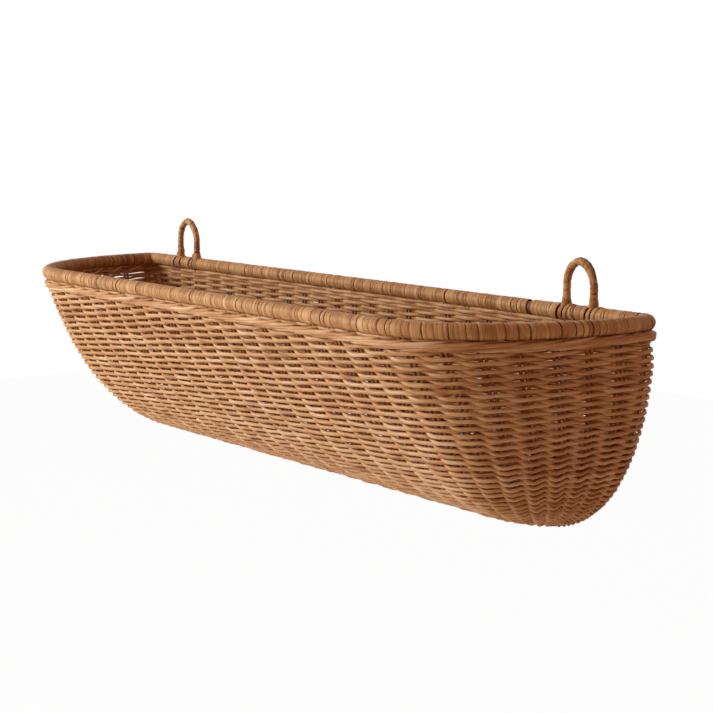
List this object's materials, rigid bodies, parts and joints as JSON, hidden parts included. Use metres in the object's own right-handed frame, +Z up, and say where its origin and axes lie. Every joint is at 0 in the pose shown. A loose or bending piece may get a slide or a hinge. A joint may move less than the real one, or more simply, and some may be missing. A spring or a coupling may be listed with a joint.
{
  "type": "wall basket",
  "caption": "Long woven rattan wall basket: D-shaped trough with a flat back, wrapped rim and two hanging loops.",
  "frame": {"origin": "on the wall plane, midway between the two hanging loops, at the height where wall hooks bear under the tops of the loops", "axes": "+X along the basket, +Y into the wall, so the front faces -Y, and +Z up"},
  "size_m": [0.8002, 0.2135, 0.243],
  "materials": {
    "weave": "satin",
    "rod": "matte",
    "cane": "satin"
  },
  "bodies": {
    "root": {"back_stake_left_1": "rod", "back_stake_left_2": "rod", "back_stake_left_3": "rod", "back_stake_right_1": "rod", "back_stake_right_2": "rod", "back_stake_right_3": "rod", "border_strand_lower": "weave", "border_strand_upper": "weave", "end_stake_left_01": "rod", "end_stake_left_02": "rod", "end_stake_left_03": "rod", "end_stake_left_04": "rod", "end_stake_left_05": "rod", "end_stake_left_06": "rod", "end_stake_left_07": "rod", "end_stake_left_08": "rod", "end_stake_right_01": "rod", "end_stake_right_02": "rod", "end_stake_right_03": "rod", "end_stake_right_04": "rod", "end_stake_right_05": "rod", "end_stake_right_06": "rod", "end_stake_right_07": "rod", "end_stake_right_08": "rod", "inner_weave": "weave", "loop_core_left": "rod", "loop_core_right": "rod", "loop_wrap_left": "cane", "loop_wrap_right": "cane", "outer_weave": "weave", "rim_hoop_inner": "rod", "rim_hoop_outer": "rod", "rim_wrap_back": "cane", "rim_wrap_front": "cane", "rim_wrap_loop_left": "cane", "rim_wrap_loop_right": "cane", "through_stake_01": "rod", "through_stake_02": "rod", "through_stake_03": "rod", "through_stake_04": "rod", "through_stake_05": "rod", "through_stake_06": "rod", "through_stake_07": "rod", "through_stake_08": "rod", "through_stake_09": "rod", "through_stake_10": "rod", "through_stake_11": "rod", "through_stake_12": "rod", "through_stake_13": "rod", "through_stake_14": "rod", "through_stake_15": "rod", "through_stake_16": "rod", "through_stake_17": "rod", "through_stake_18": "rod", "through_stake_19": "rod", "through_stake_20": "rod", "through_stake_21": "rod"}
  },
  "joints": []
}
